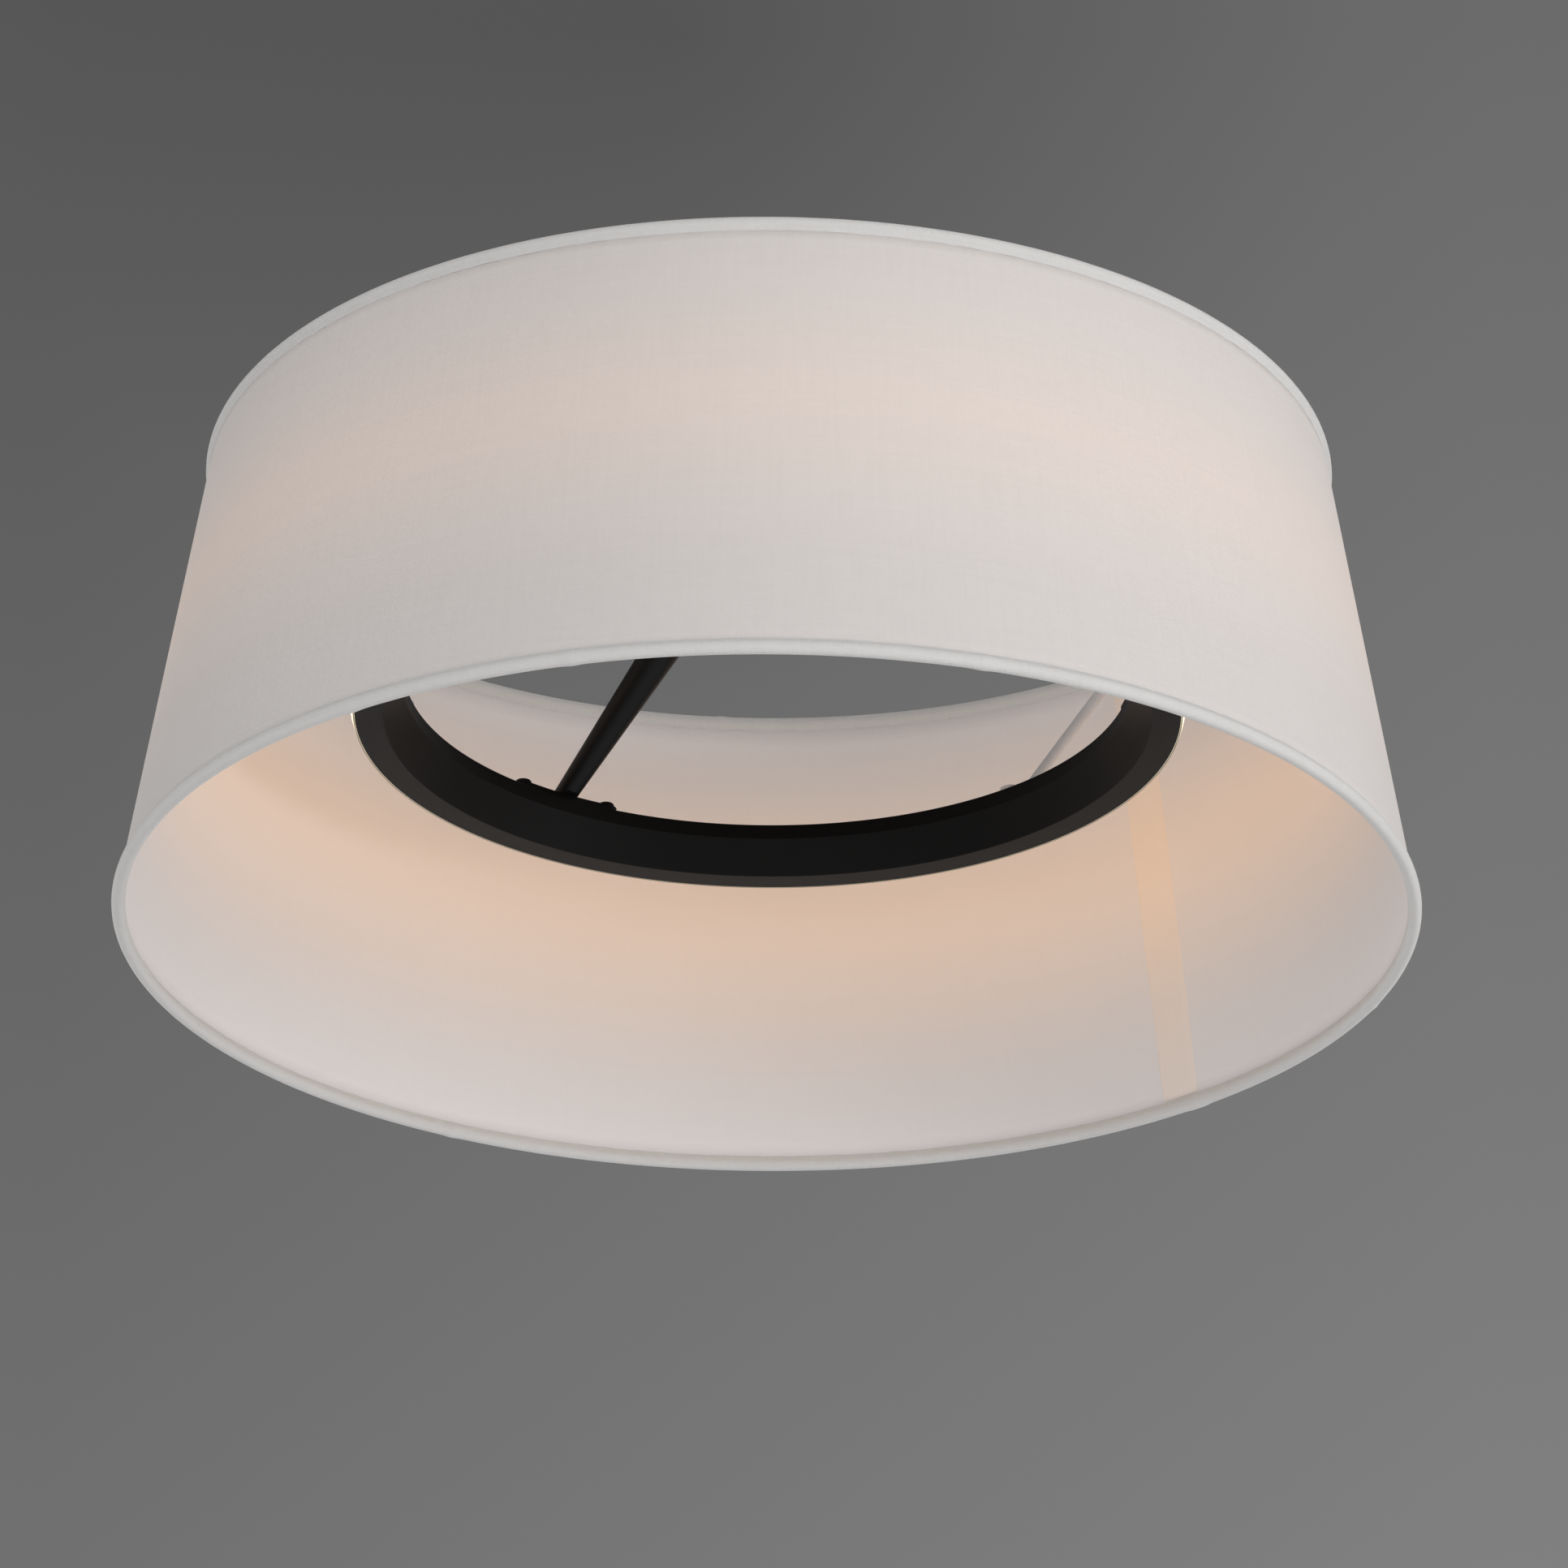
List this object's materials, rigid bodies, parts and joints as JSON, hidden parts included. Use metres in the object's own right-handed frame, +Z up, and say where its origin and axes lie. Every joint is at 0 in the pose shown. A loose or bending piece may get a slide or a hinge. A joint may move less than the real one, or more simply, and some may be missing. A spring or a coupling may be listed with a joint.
{
  "type": "flush mount ceiling light",
  "caption": "Flush mount ceiling light: a tapered fabric drum shade, open above and below, round a black ring light on sloping arms from a round ceiling canopy.",
  "frame": {"origin": "centre of the ceiling strap's upper face, where the light meets the ceiling", "axes": "+Z up through the ceiling, +X along the ceiling strap, +Y along the stud strap, away from the picture's viewer"},
  "size_m": [0.6099, 0.6098, 0.2433],
  "materials": {
    "fabric": "off-white linen-look cloth",
    "liner": "matt white backing sheet",
    "white_wire": "satin white paint on steel",
    "black_metal": "matt black powder coat",
    "opal": "lit opal acrylic",
    "bare_aluminium": "mill finish",
    "circuit_white": "white solder mask",
    "led_phosphor": "phosphor resin",
    "zinc_steel": "bright zinc plate",
    "earth_green": "green finish on steel",
    "driver_case": "fine-textured white plastic",
    "block_plastic": "translucent nylon",
    "lead_black": "soft insulation",
    "lead_green": "soft insulation",
    "rubber": "soft black"
  },
  "bodies": {
    "fixture": {"shade_fabric": "fabric", "top_hem": "fabric", "bottom_hem": "fabric", "shade_liner": "liner", "shade_seam": "liner", "top_rim_wire": "white_wire", "bottom_rim_wire": "white_wire", "shade_strut_1": "white_wire", "shade_strut_2": "white_wire", "shade_strut_3": "white_wire", "strut_screws": "white_wire", "ring_housing": "black_metal", "arm_1": "black_metal", "arm_2": "black_metal", "arm_3": "black_metal", "arm_shoe_1": "black_metal", "arm_shoe_2": "black_metal", "arm_shoe_3": "black_metal", "shoe_screws": "black_metal", "canopy": "black_metal", "ring_diffuser": "opal", "led_carrier": "bare_aluminium", "led_strip": "circuit_white", "led_chips": "led_phosphor", "clinch_nuts": "zinc_steel", "arm_plugs": "zinc_steel", "arm_nipples": "zinc_steel", "arm_washers": "zinc_steel", "arm_nuts": "zinc_steel", "ceiling_strap": "zinc_steel", "stud_strap": "zinc_steel", "swivel_bolt": "zinc_steel", "canopy_studs": "zinc_steel", "stud_nuts": "zinc_steel", "driver_screws": "zinc_steel", "earth_screw": "earth_green", "led_driver": "driver_case", "terminal_block": "block_plastic", "driver_leads": "lead_black", "led_lead": "lead_black", "earth_lead": "lead_green", "lead_grommet": "rubber"},
    "cap_nut_1": {"cap_nut_1": "black_metal"},
    "cap_nut_2": {"cap_nut_2": "black_metal"}
  },
  "joints": [
    {"name": "cap_nut_1_turn", "type": "hinge", "parent": "fixture", "child": "cap_nut_1", "pos_m": [0, -0.046, -0.065], "axis": [0, 0, 1], "continuous": true},
    {"name": "cap_nut_2_turn", "type": "hinge", "parent": "fixture", "child": "cap_nut_2", "pos_m": [0, 0.046, -0.065], "axis": [0, 0, 1], "continuous": true}
  ]
}
